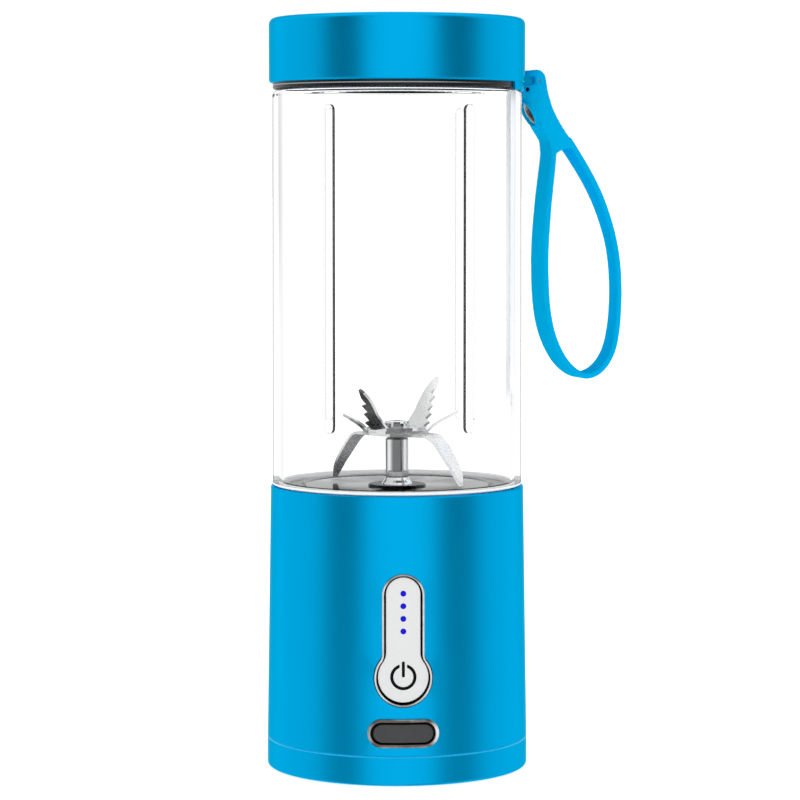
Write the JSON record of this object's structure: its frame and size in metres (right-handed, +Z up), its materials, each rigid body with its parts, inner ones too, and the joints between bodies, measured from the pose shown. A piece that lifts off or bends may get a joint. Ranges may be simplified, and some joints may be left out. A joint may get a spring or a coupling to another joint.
{
  "type": "portable bottle blender",
  "caption": "Battery bottle blender: clear screw-on cup over a motor base with blades on a post, a screw lid with a hinged carrying strap, a press button and a covered charging port.",
  "frame": {"origin": "centre of the foot pad on the table", "axes": "+Z up along the bottle's axis, control panel faces -Y, carrying strap on the +X side"},
  "size_m": [0.1118, 0.0808, 0.2291],
  "materials": {
    "rubber_foot": "matt silicone",
    "blue_shell": "satin metallic blue lacquer",
    "steel": "plated",
    "chrome_trim": "polished",
    "black_plastic": "moulded",
    "white_plate": "gloss",
    "symbol_black": "inlaid",
    "blue_light": "clear lens, lit",
    "port_rubber": "soft moulded",
    "zinc_can": "zinc plated",
    "magnet_ferrite": "sintered",
    "bronze": "sintered",
    "copper": "bare copper",
    "cell_wrap": "shrink wrap",
    "board_green": "solder mask",
    "light_chip": "sintered",
    "clear_pipe": "clear",
    "chip_black": "moulded",
    "seat_plastic": "moulded",
    "seal_silicone": "soft",
    "seal_black": "soft",
    "mirror_steel": "mirror polished stainless",
    "blade_steel": "ground stainless",
    "lamination": "stamped",
    "clear_cup": "clear moulded",
    "liner_plastic": "food grade white",
    "blue_silicone": "matt silicone",
    "dark_steel": "polished",
    "collar_gloss": "black gloss"
  },
  "bodies": {
    "base": {"foot_pad": "rubber_foot", "bottom_cover": "blue_shell", "cover_screws": "steel", "base_shell": "blue_shell", "panel_bezel": "chrome_trim", "panel_tray": "black_plastic", "port_bezel": "chrome_trim", "port_socket": "black_plastic", "usb_c_receptacle": "steel", "inner_chassis": "black_plastic", "motor_can": "zinc_can", "motor_endcap": "black_plastic", "motor_magnets": "magnet_ferrite", "motor_bushes": "bronze", "motor_brushes": "copper", "motor_screws": "steel", "battery_cell_left": "cell_wrap", "battery_cell_right": "cell_wrap", "battery_tabs": "steel", "main_board": "board_green", "button_switch": "black_plastic", "status_lights": "light_chip", "light_pipes": "clear_pipe", "board_chips": "chip_black", "cup_sensor": "chip_black", "blade_seat": "seat_plastic", "seat_screws": "steel", "plate_gasket": "seal_silicone", "blade_plate": "mirror_steel", "blade_post": "mirror_steel", "post_nut": "steel", "post_bushes": "bronze", "shaft_seal": "seal_black", "post_gasket": "seal_black"},
    "button": {"power_button": "white_plate", "button_symbol": "symbol_black", "led_lenses": "blue_light"},
    "port_flap": {"port_cover": "port_rubber"},
    "blade_rotor": {"motor_shaft": "steel", "shaft_coupler": "bronze", "blade_shaft": "steel", "armature_core": "lamination", "armature_coils": "copper", "commutator": "copper", "blade_spacer": "steel", "lower_blade": "blade_steel", "middle_blade": "blade_steel", "upper_blade": "blade_steel", "blade_nut": "mirror_steel"},
    "cup_carrier": {"cup_seal": "seal_silicone"},
    "cup": {"cup_body": "clear_cup", "cup_magnets": "magnet_ferrite"},
    "lid_carrier": {"lid_seal": "seal_silicone"},
    "lid": {"lid_shell": "blue_shell", "lid_collar": "collar_gloss", "lid_liner": "liner_plastic", "strap_pin": "steel"},
    "strap": {"strap_loop": "blue_silicone", "strap_rivet": "dark_steel"}
  },
  "joints": [
    {"name": "blade_spin", "type": "hinge", "parent": "base", "child": "blade_rotor", "pos_m": [0, 0, 0.09], "axis": [0, 0, 1], "continuous": true},
    {"name": "cup_lift", "type": "slide", "parent": "base", "child": "cup_carrier", "axis": [0, 0, 1], "range_m": [0, 0.048]},
    {"name": "cup_turn", "type": "hinge", "parent": "cup_carrier", "child": "cup", "pos_m": [0, 0, 0.08], "axis": [0, 0, 1], "range_deg": [0, 1440]},
    {"name": "lid_lift", "type": "slide", "parent": "cup", "child": "lid_carrier", "axis": [0, 0, 1], "range_m": [0, 0.027]},
    {"name": "lid_turn", "type": "hinge", "parent": "lid_carrier", "child": "lid", "pos_m": [0, 0, 0.22], "axis": [0, 0, 1], "range_deg": [0, 1080]},
    {"name": "strap_swing", "type": "hinge", "parent": "lid", "child": "strap", "pos_m": [0.04355, 0.01249, 0.2106], "axis": [0.2756, -0.9613, 0], "range_deg": [0, 90]},
    {"name": "button_press", "type": "slide", "parent": "base", "child": "button", "axis": [0, 1, 0], "range_m": [0, 0.0006], "stiffness_N_per_m": 900, "springref_m": -0.0008},
    {"name": "port_cover_swing", "type": "hinge", "parent": "base", "child": "port_flap", "pos_m": [-0.0088, -0.0399, 0.01605], "axis": [0, 0, -1], "range_deg": [0, 100]}
  ],
  "couplings": [
    {"joint": "cup_lift", "follows": "cup_turn", "m_per_rad": 0.0019099},
    {"joint": "lid_lift", "follows": "lid_turn", "m_per_rad": 0.0014324}
  ]
}
